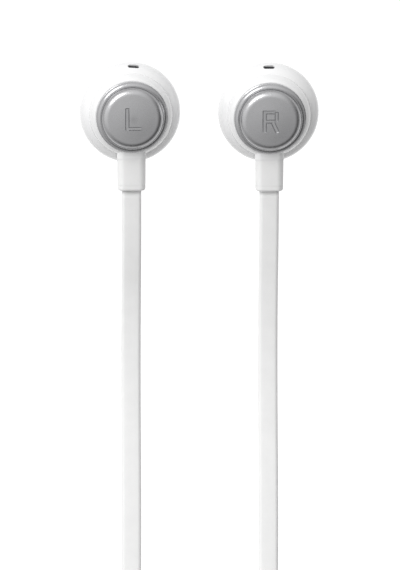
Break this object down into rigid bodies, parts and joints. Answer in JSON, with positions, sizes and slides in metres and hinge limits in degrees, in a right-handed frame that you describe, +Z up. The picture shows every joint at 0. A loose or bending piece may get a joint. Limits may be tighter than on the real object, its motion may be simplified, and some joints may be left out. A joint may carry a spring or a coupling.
{
  "type": "neckband earphones",
  "caption": "Neck-cord wireless earphones: round open-type ear buds with metallic caps on flat cords, an in-line remote, a battery pod and a coiled, tied neck cord.",
  "frame": {"origin": "middle of the buds and pods as they lie, on the table", "axes": "+Z up, caps face up; +Y along the leads from the pods to the buds; +X toward the remote"},
  "size_m": [0.044, 0.2392, 0.0165],
  "materials": {
    "gloss_white": "glossy moulded white plastic",
    "satin_cap": "satin metallised cap",
    "bright_ring": "polished metallised ring",
    "soft_white": "satin white elastomer",
    "cord_white": "matte white elastomer cord",
    "dark_mesh": "dark woven wire mesh",
    "steel": "plated steel",
    "magnet": "nickel-plated magnet",
    "copper": "enamelled copper wire",
    "film": "thin polymer film",
    "black_plastic": "black moulded plastic",
    "board_green": "green soldermask laminate",
    "cell_wrap": "grey battery wrap",
    "wire_coat": "enamelled wire",
    "light_pipe": "clear light pipe"
  },
  "bodies": {
    "earphones": {"left_front_cover": "gloss_white", "left_rear_shell": "gloss_white", "left_trim_ring": "bright_ring", "left_face_plate": "satin_cap", "left_stem_boot": "soft_white", "left_vent_mesh": "dark_mesh", "left_ear_grille": "dark_mesh", "left_driver_frame": "black_plastic", "left_driver_yoke": "steel", "left_driver_magnet": "magnet", "left_pole_plate": "steel", "left_driver_ring": "black_plastic", "left_terminal_board": "board_green", "left_bud_wires": "wire_coat", "left_lead": "cord_white", "neck_cord_left": "cord_white", "right_front_cover": "gloss_white", "right_rear_shell": "gloss_white", "right_trim_ring": "bright_ring", "right_face_plate": "satin_cap", "right_stem_boot": "soft_white", "right_vent_mesh": "dark_mesh", "right_ear_grille": "dark_mesh", "right_driver_frame": "black_plastic", "right_driver_yoke": "steel", "right_driver_magnet": "magnet", "right_pole_plate": "steel", "right_driver_ring": "black_plastic", "right_terminal_board": "board_green", "right_bud_wires": "wire_coat", "right_lead": "cord_white", "neck_cord_right": "cord_white", "remote_upper_shell": "gloss_white", "remote_lower_shell": "gloss_white", "tact_switches": "black_plastic", "circuit_board": "board_green", "bluetooth_module": "steel", "chip_antenna": "film", "usb_socket": "steel", "microphone": "steel", "status_light": "light_pipe", "remote_boot_ear": "soft_white", "remote_boot_neck": "soft_white", "battery_upper_shell": "gloss_white", "battery_lower_shell": "gloss_white", "battery_cell": "cell_wrap", "battery_board": "board_green", "battery_boot_ear": "soft_white", "battery_boot_neck": "soft_white", "neck_coil": "cord_white", "coil_ties": "black_plastic"},
    "volume_up": {"volume_up_button": "soft_white"},
    "play": {"play_button": "soft_white"},
    "volume_down": {"volume_down_button": "soft_white"},
    "socket_cover": {"usb_cover": "soft_white"},
    "left_cone": {"left_voice_coil": "copper", "left_diaphragm": "film"},
    "right_cone": {"right_voice_coil": "copper", "right_diaphragm": "film"}
  },
  "joints": [
    {"name": "volume_up_press", "type": "slide", "parent": "earphones", "child": "volume_up", "axis": [0, 0, -1], "range_m": [0, 0.00035], "stiffness_N_per_m": 4000, "springref_m": -0.00005},
    {"name": "play_press", "type": "slide", "parent": "earphones", "child": "play", "axis": [0, 0, -1], "range_m": [0, 0.00035], "stiffness_N_per_m": 4000, "springref_m": -0.00005},
    {"name": "volume_down_press", "type": "slide", "parent": "earphones", "child": "volume_down", "axis": [0, 0, -1], "range_m": [0, 0.00035], "stiffness_N_per_m": 4000, "springref_m": -0.00005},
    {"name": "socket_cover_hinge", "type": "hinge", "parent": "earphones", "child": "socket_cover", "pos_m": [0.01628, -0.0742, 0.0035], "axis": [0, 0, -1], "range_deg": [0, 110]},
    {"name": "left_cone_stroke", "type": "slide", "parent": "earphones", "child": "left_cone", "axis": [0.0802, -0.2021, 0.9761], "range_m": [-0.0002, 0.0002], "stiffness_N_per_m": 60},
    {"name": "right_cone_stroke", "type": "slide", "parent": "earphones", "child": "right_cone", "axis": [0.0436, -0.2501, 0.9672], "range_m": [-0.0002, 0.0002], "stiffness_N_per_m": 60}
  ]
}
